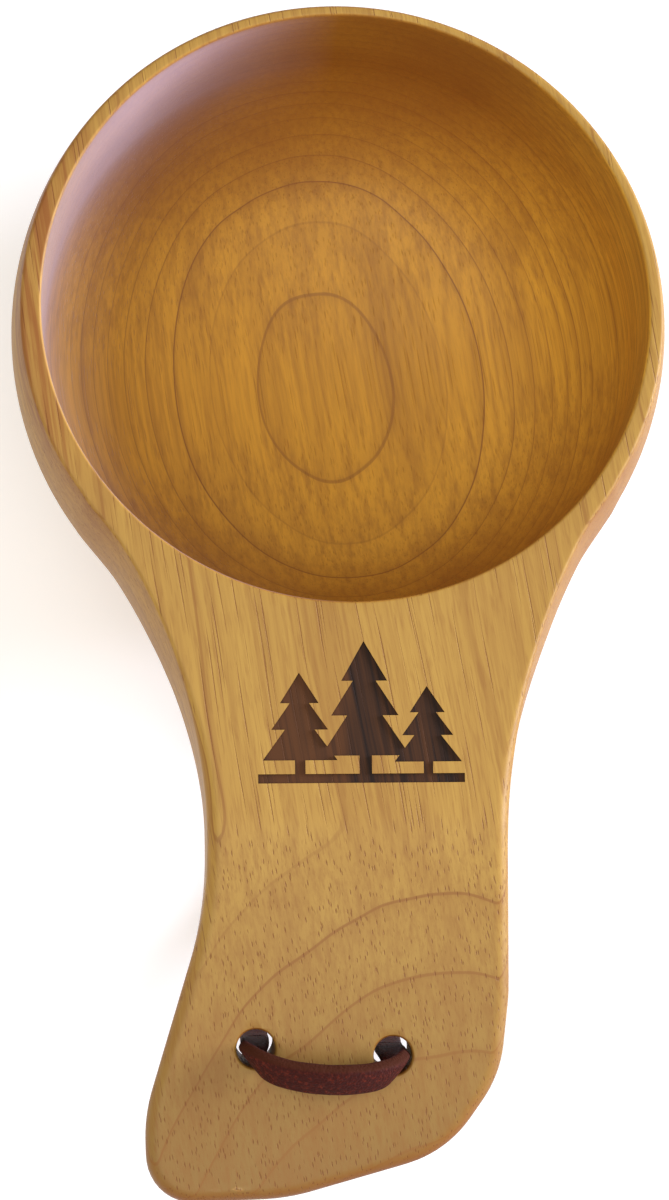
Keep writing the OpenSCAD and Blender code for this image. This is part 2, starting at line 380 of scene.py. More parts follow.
def signed_distance(points, polygon):
    """Distance to a closed polygon, negative inside it."""
    a, b = polygon, np.roll(polygon, -1, axis=0)
    keep = np.linalg.norm(b - a, axis=1) > 1e-9
    a, b = a[keep], b[keep]
    edge = b - a
    nearest = np.full(len(points), np.inf)
    inside = np.zeros(len(points), bool)
    for i in range(len(a)):
        w = points - a[i]
        t = np.clip(w @ edge[i] / (edge[i] @ edge[i]), 0, 1)
        nearest = np.minimum(nearest, np.linalg.norm(w - t[:, None] * edge[i], axis=1))
        crosses = (a[i, 1] > points[:, 1]) != (b[i, 1] > points[:, 1])
        rise = edge[i, 1] if abs(edge[i, 1]) > 1e-12 else 1e-12
        inside ^= crosses & (w[:, 0] < edge[i, 0] * w[:, 1] / rise)
    return np.where(inside, -nearest, nearest)


# How the rows of the outside hang together: each line gives a share of the way from the bowl's
# side to the handle's end, the y and z that its lowest point is looked for at, and the y and z
# that it is looked for from.
SPINE = np.array([
    [0.00, 0.0, 0.0, 0.0, 48.0],
    [0.08, -12.0, 0.0, -2.0, 48.0],
    [0.16, -27.0, 0.0, -8.0, 48.0],
    [0.24, -36.0, 6.0, -15.0, 48.0],
    [0.32, -43.5, 17.0, -24.0, 48.0],
    [0.40, -47.8, 29.0, -35.0, 48.5],
    [0.46, -51.0, 37.0, -43.0, 49.0],
    [0.53, -58.0, 42.0, -54.0, 49.5],
    [0.60, -68.0, 42.0, -66.0, 49.5],
    [0.67, -76.0, 41.0, -75.0, 49.0],
    [0.82, -90.0, 30.0, -90.0, 46.6],
    [1.00, -105.0, 30.0, -105.0, 43.6],
])
SPINE_LEAN = 0.038


def nearest_index(line, x, y):
    """Which point of the line lies nearest to x, y."""
    return int(np.argmin(np.hypot(line[:, 0] - x, line[:, 1] - y)))


def outside_grid(shape, s):
    """The cup's outside as a grid. Columns run round the top edge. In each, the first rows are the
    rounding of the edge, and the others follow the outside down to a line under the cup's middle."""
    edge = shape.top_edge()
    ends = [(42.0, -19.6), (-42.0, -19.6), (-26.3, -105.0), (21.2, -104.0)]
    at = [nearest_index(edge, *e) for e in ends]
    edge = np.roll(edge, -at[0], axis=0)
    at = [(i - at[0]) % len(edge) for i in at] + [len(edge)]
    edge = np.vstack([edge, edge[:1]])
    sides = round(s.columns * 0.45)
    counts = (s.columns, sides, round(s.columns * 0.36), sides)
    parts = [spaced(edge[at[i] : at[i + 1] + 1], n + 1)[:-1] for i, n in enumerate(counts)]
    flat = np.vstack(parts)
    down_side = np.arange(sides) / sides
    share = np.concatenate([np.zeros(counts[0]), down_side, np.ones(counts[2]), 1 - down_side])
    low_y, low_z, from_y, from_z = (np.interp(share, SPINE[:, 0], SPINE[:, k]) for k in range(1, 5))
    origin = np.column_stack([SPINE_LEAN * from_y, from_y, from_z])
    low = np.column_stack([SPINE_LEAN * low_y, low_y, low_z]) - origin

    corner = np.column_stack([flat, shape.top(flat[:, 1])])
    g = shape.gradient(corner)
    out = unit(g[:, :2])
    lean = (g[:, 2] / np.sum(g[:, :2] * out, axis=1))[:, None]
    down = unit(np.column_stack([out * lean, -np.ones(len(g))]))
    inward = unit(np.column_stack([-out, -out[:, 1] * shape.top_fall(flat[:, 1])]))
    radius = s.rim_edge / MM + (s.handle_edge - s.rim_edge) / MM * smooth_step(-flat[:, 1], 46, 74)
    half = np.arccos(np.clip(np.sum(down * inward, axis=1), -1, 1)) / 2
    reach = (radius / np.tan(half))[:, None]
    start, stop = corner + inward * reach, corner + down * reach
    t = np.linspace(0, 1, 7)[:-1, None, None]
    w = np.sin(half)[None, :, None]
    blend = (1 - t) ** 2 * start + 2 * t * (1 - t) * w * corner + t**2 * stop
    rounding = blend / ((1 - t) ** 2 + 2 * t * (1 - t) * w + t**2)

    first, last = unit(stop - origin), unit(low)
    angle = np.arccos(np.clip(np.sum(first * last, axis=1), -1, 1))

    def fan(v):
        """Directions turned from the top edge to the lowest point, by the share v."""
        a, b = np.sin((1 - v) * angle), np.sin(v * angle)
        return (a[..., None] * first + b[..., None] * last) / np.sin(angle)[:, None]

    v = np.linspace(0, 1, 150)[:, None] * np.ones(len(flat))
    found = shape.hits(origin, fan(v))
    steps = np.linalg.norm(np.diff(found, axis=0), axis=2)
    along = np.concatenate([np.zeros((1, len(flat))), np.cumsum(steps, axis=0)])
    want = np.linspace(0, 1, s.rows)
    even = np.stack([np.interp(want * along[-1, c], along[:, c], v[:, c]) for c in range(len(flat))], axis=1)
    return np.concatenate([rounding, shape.hits(origin, fan(even))]), counts


def hollow_profile(s):
    """Radius and height down the hollow: worn edge, upright wall, corner arc, floor arc, middle."""
    rim, r, edge = s.rim_height / MM, s.hollow_radius / MM, 0.5
    corner, arc = s.corner_radius / MM, s.floor_arc / MM
    floor_h = rim - s.hollow_depth / MM
    corner_x = r - corner
    corner_h = floor_h + arc - math.sqrt((arc - corner) ** 2 - corner_x**2)
    a = np.linspace(math.pi / 2, math.pi, 6)
    worn = np.column_stack([r + edge + edge * np.cos(a), rim - edge + edge * np.sin(a)])
    wall = np.column_stack([np.full(18, r), np.linspace(rim - edge, corner_h, 20)[1:-1]])
    last = math.atan2(-(floor_h + arc - corner_h), corner_x)
    b = np.linspace(0, last, 34)
    turn = np.column_stack([corner_x + corner * np.cos(b), corner_h + corner * np.sin(b)])
    c = np.linspace(last, -math.pi / 2, 26)[1:-1]
    floor = np.column_stack([arc * np.cos(c), floor_h + arc + arc * np.sin(c)])
    return np.vstack([worn, wall, turn, floor]), floor_h


def top_points(loop, rim_loop):
    """Points spread over the top, kept clear of the outer loop and of the hollow."""
    x, y = np.meshgrid(np.arange(-48, 49, 1.5), np.arange(-128, 48, 1.5), indexing="ij")
    x = x + 0.75 * (np.round((y + 128) / 1.5) % 2)
    p = np.column_stack([x.ravel(), y.ravel()])
    clear = (signed_distance(p, loop) < -0.9) & (signed_distance(p, rim_loop) > 0.9)
    return p[clear]


def inner_ring(loop, gap):
    """The loop moved inwards by gap, square to itself."""
    along = unit(np.roll(loop, -1, axis=0) - np.roll(loop, 1, axis=0))
    return loop + gap * np.column_stack([-along[:, 1], along[:, 0]])


def outside_mesh(shape, s):
    """Points and faces of the outside, and its top edge. The columns of the bowl's far side meet in
    one lowest point, those of the handle's end in another, and the columns of the two flanks share
    the points between them."""
    grid, (bowl, flank, end, _) = outside_grid(shape, s)
    rows, columns = grid.shape[:2]
    shared = grid[-1, np.concatenate([[0], np.arange(bowl + 1, bowl + flank + 1)])]
    down = np.arange(flank)
    lowest = np.concatenate([np.zeros(bowl, int), down, np.full(end, flank), flank - down])
    lowest += (rows - 1) * columns
    above = (rows - 2) * columns + np.arange(columns)
    strip = np.column_stack([above, np.roll(above, -1), np.roll(lowest, -1), lowest])
    pointed = strip[:, 2] == strip[:, 3]
    faces = grid_faces(rows - 1, columns) + strip[~pointed].tolist() + strip[pointed, :3].tolist()
    return np.vstack([grid[:-1].reshape(-1, 3), shared]), faces, grid[0]


def hollow_mesh(s, first):
    """Points and faces of the hollow, numbered from first, and its rim: the profile turned about the
    hollow's own axis and closed by a point in the middle."""
    profile, floor_h = hollow_profile(s)
    turn = np.linspace(0, 2 * math.pi, HOLLOW_COLUMNS, endpoint=False)
    bowl = np.stack([
        HOLLOW_AT[0] + profile[:, :1] * np.cos(turn),
        HOLLOW_AT[1] + profile[:, :1] * np.sin(turn),
        profile[:, 1:] * np.ones(HOLLOW_COLUMNS),
    ], axis=-1)
    points = np.vstack([bowl.reshape(-1, 3), [[HOLLOW_AT[0], HOLLOW_AT[1], floor_h]]])
    middle = first + len(points) - 1
    ring = middle - HOLLOW_COLUMNS + np.arange(HOLLOW_COLUMNS)
    fan = np.column_stack([ring, np.roll(ring, -1), np.full(HOLLOW_COLUMNS, middle)])
    return points, grid_faces(len(profile), HOLLOW_COLUMNS, first=first) + fan.tolist(), bowl[0]


def top_mesh(shape, edge, rim):
    """Points spread over the top, and triangles that join them to the outer edge and to the rim. The
    triangles number the edge's points first, then the rim's, then the spread ones."""
    loop, rim_loop = edge[:, :2], rim[:, :2]
    ring = inner_ring(loop, 0.45)
    ring = ring[signed_distance(ring, rim_loop) > 0.35]
    spread = np.vstack([ring, top_points(loop, rim_loop)])
    flat = np.vstack([loop, rim_loop, spread])
    n, m = len(loop), len(rim_loop)
    sides = [(i, (i + 1) % n) for i in range(n)] + [(n + i, n + (i + 1) % m) for i in range(m)]
    made = delaunay_2d_cdt([Vector(p) for p in flat], sides, [], 0, 1e-6, True)
    if len(made[0]) != len(flat):
        raise RuntimeError("the top face has crossing edges")
    back = np.array([ids[0] for ids in made[3]])
    triangles = back[np.array(made[2])]
    centre = flat[triangles].mean(axis=1)
    keep = (signed_distance(centre, loop) < 0) & (signed_distance(centre, rim_loop) > 0)
    return np.column_stack([spread, shape.top(spread[:, 1])]), triangles[keep]


def cup_mesh(shape, s):
    """One closed shell: the outside, the hollow, and the top between their edges."""
    outside, faces, edge = outside_mesh(shape, s)
    hollow, hollow_faces, rim = hollow_mesh(s, len(outside))
    spread, triangles = top_mesh(shape, edge, rim)
    starts = (0, len(outside), len(outside) + len(hollow))
    number = np.concatenate([at + np.arange(len(p)) for at, p in zip(starts, (edge, rim, spread))])
    faces += hollow_faces + number[triangles].tolist()
    return np.vstack([outside, hollow, spread]), faces


def slope_place(shape, p):
    """Points given as x, toward the bowl and above the slope, counted from the bend line."""
    a = math.atan(shape.fall)
    p = np.asarray(p, float)
    y = -shape.bend + p[..., 1] * math.cos(a) - p[..., 2] * math.sin(a)
    z = shape.rim + p[..., 1] * math.sin(a) + p[..., 2] * math.cos(a)
    return np.stack([p[..., 0], y, z], axis=-1)


def hole_cutter(shape, x, down, radius):
    """A turned drill for one lace hole: straight, with flared mouths whose edges are rounded."""
    a = np.linspace(0, math.pi / 2, 6)
    flare = 0.7
    mouth = np.column_stack([radius + flare * (1 - np.cos(a)), 0.12 - flare * (1 - np.sin(a))])
    thick = 10.6
    below = np.column_stack([mouth[:, 0], -thick + 0.9 - mouth[:, 1]])
    profile = np.vstack([[[radius + flare, 4]], mouth[::-1], below, [[radius + flare, -thick - 5]]])
    around = 48
    turn = np.linspace(0, 2 * math.pi, around, endpoint=False)
    grid = np.stack([
        x + profile[:, :1] * np.cos(turn),
        -down + profile[:, :1] * np.sin(turn),
        profile[:, 1:] * np.ones(around),
    ], axis=-1)
    faces = grid_faces(len(profile), around)
    faces += [list(range(around)), list(range((len(profile) - 1) * around, len(profile) * around))]
    return slope_place(shape, grid.reshape(-1, 3)), faces


def fir(x, height, width):
    """Outline of a plain fir tree of three tiers on a trunk."""
    side = np.array([
        [0.07, 0], [0.07, 0.14], [0.5, 0.14], [0.2, 0.44], [0.38, 0.44], [0.13, 0.7], [0.26, 0.7],
    ]) * [width, height]
    both = np.vstack([side, [[0, height]], (side * [-1, 1])[::-1]])
    return both + [x + MARK_AT[0], 1.2 + MARK_AT[1]]


def mark_cutter(shape, depth):
    """The burnt mark as one prism: the union of three firs and a strip of ground."""
    ground = np.array([[-14.5, 0], [14.5, 0], [14.5, 1.3], [-14.5, 1.3]]) + MARK_AT
    parts = [fir(*f) for f in FIRS] + [ground]
    flat, faces = [], []
    for part in parts:
        faces.append(list(range(len(flat), len(flat) + len(part))))
        flat += [Vector(p) for p in part]
    made = delaunay_2d_cdt(flat, [], faces, 0, 1e-6, True)
    flat = np.array(made[0])
    triangles = np.array(made[2])
    centre = flat[triangles].mean(axis=1)
    triangles = triangles[np.min([signed_distance(centre, part) for part in parts], axis=0) < 0]
    pairs = np.concatenate([triangles[:, [0, 1]], triangles[:, [1, 2]], triangles[:, [2, 0]]])
    _, index, times = np.unique(np.sort(pairs, axis=1), axis=0, return_index=True, return_counts=True)
    rim = pairs[index[times == 1]]
    n = len(flat)
    points = np.vstack([
        np.column_stack([flat, np.full(n, shape.rim - depth)]),
        np.column_stack([flat, np.full(n, shape.rim + 2)]),
    ])
    faces = triangles[:, ::-1].tolist() + (triangles + n).tolist()
    faces += np.column_stack([rim[:, 0], rim[:, 1], rim[:, 1] + n, rim[:, 0] + n]).tolist()
    return points, faces


def cut(piece, cutters):
    """Takes the cutters out of the piece's mesh, one after another."""
    for i, (points, faces) in enumerate(cutters):
        mesh = bpy.data.meshes.new(f"cutter_{i}")
        mesh.from_pydata((points * MM).tolist(), [], faces)
        outwards(mesh)
        tool = bpy.data.objects.new(mesh.name, mesh)
        bpy.context.scene.collection.objects.link(tool)
        step = piece.modifiers.new("cut", "BOOLEAN")
        step.operation = "DIFFERENCE"
        step.solver = "EXACT"
        step.object = tool
        bpy.context.view_layer.update()
        graph = bpy.context.evaluated_depsgraph_get()
        done = bpy.data.meshes.new_from_object(piece.evaluated_get(graph))
        old = piece.data
        piece.modifiers.clear()
        piece.data = done
        bpy.data.meshes.remove(old)
        bpy.data.objects.remove(tool)
        bpy.data.meshes.remove(mesh)


# The lace. Its routes are the CAD's own: the bridge's is counted along the handle's slope from the
# bend line, and the strands' are in the shared frame.

BRIDGE_ROUTE = (
    (-13.4, -31, -10.4), (-13.5, -31, -8), (-13.8, -31, -5), (-14.1, -31, -2.5),
    (-14.2, -31.2, -0.5), (-13.7, -31.6, 1.3), (-12.6, -32.2, 2.9), (-10.7, -32.9, 4.1),
    (-7.9, -33.5, 4.9), (-4.4, -33.9, 5.2), (-0.9, -34, 5), (1.9, -33.9, 4.2), (4, -33.6, 3),
    (5.4, -33.1, 1.4), (6, -32.6, -0.5), (6, -32.3, -2.5), (5.9, -32.2, -5), (5.8, -32.2, -8),
    (5.7, -32.2, -10.4),
)
STRAND_LEFT_ROUTE = (
    (-13.4, -103.6, 38.9), (-13.4, -102.9, 35.8), (-13.4, -101.9, 32.5), (-13.4, -100.7, 29),
    (-13.4, -99.3, 25.4), (-13.4, -97.8, 21.8), (-13.3, -96, 18.2), (-13.2, -93.9, 14.8),
    (-13, -91.4, 11.4), (-12.5, -88.4, 8.2), (-11.9, -84.8, 5.4), (-11.2, -80.6, 3.2),
    (-10.6, -76, 1.8), (-9.7, -71.2, 1.1), (-8.5, -66.4, 0.9), (-6.9, -61.6, 1.1),
    (-5, -57, 1.9), (-3.4, -52.6, 3),
)
STRAND_RIGHT_ROUTE = (
    (5.7, -104.7, 38.6), (5.8, -104, 35.6), (5.9, -103, 32.4), (6, -101.7, 29),
    (6.2, -100.3, 25.4), (6.3, -98.8, 21.8), (6.5, -97, 18.2), (6.7, -94.9, 14.8),
    (6.9, -92.4, 11.4), (7.1, -89.4, 8.2), (7.3, -85.8, 5.4), (7.3, -81.6, 3.2), (7, -77, 1.8),
    (6.5, -72.1, 1.1), (5.7, -67.2, 0.9), (4.7, -62.2, 1.1), (3.6, -57.4, 1.9), (2.6, -52.6, 3),
)
KNOT_AT = np.array([-0.4, -48.0, 3.6])


def strip_section(width, thickness):
    """A flat oblong with rounded edges and a slightly crowned top, as points round it, and how much
    each point belongs to the cut edge."""
    r = thickness * 0.34
    corner = np.linspace(0, math.pi / 2, 5)
    x, y = width / 2 - r, thickness / 2 - r
    quarter = np.column_stack([x + r * np.cos(corner), y + r * np.sin(corner)])
    flat = np.linspace(1, -1, 9)[1:-1]
    crown = 0.07 * thickness
    top = np.column_stack([x * flat, thickness / 2 + crown * (1 - flat**2)])
    bottom = np.column_stack([-x * flat, np.full(len(flat), -thickness / 2)])
    section = np.vstack([
        quarter, top, (quarter * [-1, 1])[::-1], quarter * [-1, -1], bottom, (quarter * [1, -1])[::-1],
    ])
    raw = smooth_step(np.abs(section[:, 0]), width / 2 - 0.55 * r, width / 2 - 0.1 * r)
    return section, raw


def swept_strip(route, lean, width, thickness, waver=0.0, phase=0.0, swell=1.0):
    """A strip carried along a route. lean is the way its width points at each route point, made
    square to the route, and swell how much thicker the strip is at each sample. Returns its points,
    faces, cut-edge amounts and centreline."""
    line = flowing(route)
    lean = flowing(lean)[: len(line)]
    along = unit(np.gradient(line, axis=0))
    across = unit(lean - np.sum(lean * along, axis=1, keepdims=True) * along)
    face = np.cross(along, across)
    section, raw = strip_section(1.0, thickness / np.min(width))
    gone = np.concatenate([[0], np.cumsum(np.linalg.norm(np.diff(line, axis=0), axis=1))])
    uneven = waver * np.sin(gone * 0.9 + phase) * np.sin(gone * 0.37 + 1)
    wide = np.broadcast_to(width, len(line)) * (1 + uneven)
    thick = np.broadcast_to(swell, len(line)) * np.min(width)
    points = line[:, None] + (section[:, 0] * wide[:, None])[..., None] * across[:, None] + (
        section[:, 1] * thick[:, None]
    )[..., None] * face[:, None]
    n = len(section)
    faces = grid_faces(len(line), n)
    faces += [list(range(n)), list(range((len(line) - 1) * n, len(line) * n))]
    return points.reshape(-1, 3), faces, np.tile(raw, len(line)), line


def joined(parts):
    """Several strips as one mesh's points, faces and cut-edge amounts."""
    points, faces, raw, first = [], [], [], 0
    for part in parts:
        points.append(part[0])
        faces += [[i + first for i in f] for f in part[1]]
        raw.append(part[2])
        first += len(part[0])
    return np.vstack(points), faces, np.concatenate(raw)


def lace_piece(name, points, faces, raw, material):
    """A leather piece that carries its cut-edge amounts as an attribute."""
    piece = new_piece(name, points, faces, material, name.replace("_leather", ""))
    edge = piece.data.attributes.new("cut_edge", "FLOAT", "POINT")
    edge.data.foreach_set("value", np.asarray(raw, np.float32))
    piece.data.set_sharp_from_angle(angle=math.radians(50))
    return piece


def turning_lean(count, first, middle, last, turning=8):
    """A lean that turns from first to middle over the first few points, and to last over the last."""
    i = np.arange(count)
    go = np.clip(i / turning, 0, 1)[:, None]
    end = np.clip((count - 1 - i) / turning, 0, 1)[:, None]
    return np.asarray(first) * (1 - go) + np.asarray(middle) * (go + end - 1) + np.asarray(last) * (1 - end)


def wrap_strip(s):
    """The knot's outer wrap: the lace wound not quite twice round the strands, tucked in at both ends."""
    t = np.linspace(0, 1, 40)
    radius = s.knot_width / MM / 2 - s.thickness / MM / 2 + 0.05
    tuck = 1 - 0.42 * smooth_step(np.abs(t - 0.5), 0.4, 0.5)
    angle = 2 * math.pi * 1.85 * t + 0.6
    y = (t - 0.5) * (s.knot_length / MM - 4.2) * 1.25
    ring = np.column_stack([
        radius * tuck * np.cos(angle), y, radius * tuck * np.sin(angle) * 0.97,
    ])
    return swept_strip(ring + KNOT_AT, np.tile([0.0, 1.0, 0.0], (40, 1)), 3.1, s.thickness / MM * 0.9, 0.03)


def core_strip(s, side, strand_end):
    """One strand on its way through the knot and out into its cut end, which lies on the ground."""
    tail = math.radians(16) * side
    foot = s.thickness / MM / 2
    mouth = KNOT_AT + [side * 1.4, s.knot_length / MM / 2 - 1, 0]
    go = np.array([math.sin(tail), math.cos(tail), 0])
    reach = s.tail / MM + 1
    falls = ((0.28, 0.75), (0.5, 0.25), (0.75, 0.1), (1, 0.35))
    lying = [mouth * [1, 1, 0] + go * (reach * k) + [0, 0, foot + h] for k, h in falls]
    route = np.vstack([
        strand_end,
        strand_end * 0.45 + (KNOT_AT + [side * 1.2, -3.2, 0]) * 0.55,
        KNOT_AT + [side * 1.15, -2, 0],
        KNOT_AT + [side * 0.95, 0, 0.1],
        KNOT_AT + [side * 1.05, 2.2, -0.2],
        KNOT_AT + [side * 1.5, 4.4, -1.2],
        *lying,
    ])
    lean = np.tile([1.0, 0.0, 0.05], (len(route), 1))
    return swept_strip(route, lean, core_width(len(flowing(route)), s), s.thickness / MM, 0.02)


def core_width(count, s):
    """Width of a strand through the knot: full, pinched in the middle of the knot, full again."""
    t = np.linspace(0, 1, count)
    pinch = smooth_step(t, 0.02, 0.16) * (1 - smooth_step(t, 0.45, 0.66))
    return s.width / MM * (1 - 0.42 * pinch)


# Materials. On a Mix node, input 0 is the amount, 6 the first colour and 7 the second, and output 2
# is the colour that comes out.

GRAIN_TURN = math.radians(-8.6)
# The pith, in millimetres: how far it lies beside and below the foot's middle.
PITH_BESIDE, PITH_BELOW = 1.0, 79.0

def put(tree, kind, inputs=None, **settings):
    """Adds one node, with its settings, and with each input set or linked."""
    node = tree.nodes.new(kind)
    for name, value in settings.items():
        setattr(node, name, value)
    for key, value in (inputs or {}).items():
        if isinstance(value, bpy.types.NodeSocket):
            tree.links.new(value, node.inputs[key])
        else:
            node.inputs[key].default_value = value
    return node


def blank_material(name):
    """A new material with its output and a Principled shader, ready for nodes."""
    material = bpy.data.materials.new(name)
    material.use_nodes = True
    tree = material.node_tree
    tree.nodes.clear()
    shader = put(tree, "ShaderNodeBsdfPrincipled")
    put(tree, "ShaderNodeOutputMaterial", {"Surface": shader.outputs["BSDF"]})
    return material, tree, shader


def grain_noise(tree, place, size, detail, roughness=0.5):
    """Outputs of a noise whose patches have the given size in millimetres: across, along, across."""
    scale = tuple(1 / side for side in size)
    at = put(tree, "ShaderNodeMapping", {"Vector": place, "Scale": scale}).outputs["Vector"]
    noise = put(
        tree, "ShaderNodeTexNoise", {"Vector": at, "Scale": 1.0, "Detail": detail, "Roughness": roughness}
    )
    return noise.outputs


def bent_grain(tree, place):
    """Places in millimetres counted from the tree's pith, straight and with the grain's wandering."""
    # Turned so that Y runs along the grain and Z up from the tree's pith, in millimetres.
    grain = put(
        tree, "ShaderNodeMapping",
        {
            "Vector": place, "Location": (-PITH_BESIDE, 0, PITH_BELOW), "Rotation": (0, 0, GRAIN_TURN),
            "Scale": (1000, 1000, 1000),
        },
    ).outputs["Vector"]
    # Slow wandering of the grain, about 1 mm to either side within 26 mm across and 60 mm along.
    drift = grain_noise(tree, grain, (26, 60, 26), 2.0)["Color"]
    shift = put(tree, "ShaderNodeVectorMath", {0: drift, 1: (0.5, 0.5, 0.5)}, operation="SUBTRACT")
    shift = put(tree, "ShaderNodeVectorMath", {0: shift.outputs[0], 1: (2.6, 0.0, 1.7)}, operation="MULTIPLY")
    bent = put(tree, "ShaderNodeVectorMath", {0: grain, 1: shift.outputs[0]}, operation="ADD").outputs[0]
    return grain, bent


def growth_rings(tree, bent, w):
    """How dark the wood is for its place in its growth ring: the fraction of a count of rings from the
    pith, sent through a curve, with some rings stronger than others."""
    flat = put(tree, "ShaderNodeVectorMath", {0: bent, 1: (1, 0, 1)}, operation="MULTIPLY").outputs[0]
    from_pith = put(tree, "ShaderNodeVectorMath", {0: flat}, operation="LENGTH").outputs["Value"]
    rings = put(
        tree, "ShaderNodeMath", {0: from_pith, 1: 1 / (w.ring / MM), 2: RING_PHASE}, operation="MULTIPLY_ADD"
    ).outputs[0]
    year = put(tree, "ShaderNodeMath", {0: rings}, operation="FRACT").outputs[0]
    strength = put(
        tree, "ShaderNodeTexNoise", {"W": rings, "Scale": 0.9, "Detail": 0.0}, noise_dimensions="1D"
    ).outputs["Fac"]
    # Each ring darkens slowly, ends in a thin dark line about 0.1 mm thick, and starts pale again.
    curve = put(tree, "ShaderNodeFloatCurve", {"Value": year})
    points = curve.mapping.curves[0].points
    points[0].location = (0.0, 0.16)
    points[-1].location = (1.0, 0.16)
    for share, height in ((0.1, 0.03), (0.6, 0.1), (0.9, 0.27), (0.955, 0.45), (0.972, 1.0), (0.988, 0.9)):
        points.new(share, height)
    curve.mapping.update()
    late = curve.outputs["Value"]
    strength = put(
        tree, "ShaderNodeMapRange",
        {"Value": strength, "From Min": 0.2, "From Max": 0.7, "To Min": 0.3, "To Max": 1.0},
    ).outputs["Result"]
    return put(tree, "ShaderNodeMath", {0: late, 1: strength}, operation="MULTIPLY").outputs[0]


def hollow_area(tree, place, facing_up, s):
    """1 in the hollow and 0 elsewhere: within its radius of its axis, and not facing down."""
    axis = (HOLLOW_AT[0] * MM, HOLLOW_AT[1] * MM, 0)
    away = put(tree, "ShaderNodeVectorMath", {0: place, 1: axis}, operation="SUBTRACT").outputs[0]
    away = put(tree, "ShaderNodeVectorMath", {0: away, 1: (1, 1, 0)}, operation="MULTIPLY").outputs[0]
    away = put(tree, "ShaderNodeVectorMath", {0: away}, operation="LENGTH").outputs["Value"]
    within = put(
        tree, "ShaderNodeMapRange",
        {
            "Value": away, "From Min": s.hollow_radius + 0.0001, "From Max": s.hollow_radius + 0.0004,
            "To Min": 1.0, "To Max": 0.0,
        },
    ).outputs["Result"]
    over = put(tree, "ShaderNodeMath", {0: facing_up, 1: -0.2}, operation="GREATER_THAN").outputs[0]
    return put(tree, "ShaderNodeMath", {0: within, 1: over}, operation="MULTIPLY").outputs[0]


def red_area(tree, split, inside, fibre):
    """How much of the redder wood in the left of the rim shows, with streaks of its own."""
    left = put(
        tree, "ShaderNodeMapRange",
        {"Value": split.outputs["X"], "From Min": -0.035, "From Max": -0.043, "To Min": 0.0, "To Max": 1.0},
    ).outputs["Result"]
    left = put(tree, "ShaderNodeMath", {0: left, 1: inside}, operation="SUBTRACT", use_clamp=True).outputs[0]
    upper = put(
        tree, "ShaderNodeMapRange",
        {"Value": split.outputs["Z"], "From Min": 0.05, "From Max": 0.0555, "To Min": 0.0, "To Max": 1.0},
    ).outputs["Result"]
    streaked = put(
        tree, "ShaderNodeMapRange",
        {"Value": fibre, "From Min": 0.4, "From Max": 0.6, "To Min": 0.25, "To Max": 0.8},
    ).outputs["Result"]
    red = put(tree, "ShaderNodeMath", {0: left, 1: upper}, operation="MULTIPLY").outputs[0]
    return put(tree, "ShaderNodeMath", {0: red, 1: streaked}, operation="MULTIPLY").outputs[0]


def mark_area(tree, split, s):
    """1 in the burnt mark and 0 elsewhere: what lies below the level top inside the mark's oblong."""
    rim = s.rim_height
    deep = put(
        tree, "ShaderNodeMapRange",
        {
            "Value": split.outputs["Z"], "From Min": rim - 0.00020, "From Max": rim - 0.00012,
            "To Min": 1.0, "To Max": 0.0,
        },
    ).outputs["Result"]
    floor = put(
        tree, "ShaderNodeMath",
        {0: split.outputs["Z"], 1: rim - s.burn_depth - 0.0002}, operation="GREATER_THAN",
    ).outputs[0]
    near = put(
        tree, "ShaderNodeMath", {0: split.outputs["Y"], 1: (MARK_AT[1] - 1.0) * MM}, operation="GREATER_THAN"
    ).outputs[0]
    far = put(
        tree, "ShaderNodeMath", {0: split.outputs["Y"], 1: (MARK_AT[1] + 21.0) * MM}, operation="LESS_THAN"
    ).outputs[0]
    side = put(tree, "ShaderNodeMath", {0: split.outputs["X"]}, operation="ABSOLUTE").outputs[0]
    side = put(tree, "ShaderNodeMath", {0: side, 1: 0.017}, operation="LESS_THAN").outputs[0]
    burn = deep
    for gate in (floor, near, far, side):
        burn = put(tree, "ShaderNodeMath", {0: burn, 1: gate}, operation="MULTIPLY").outputs[0]
    return burn


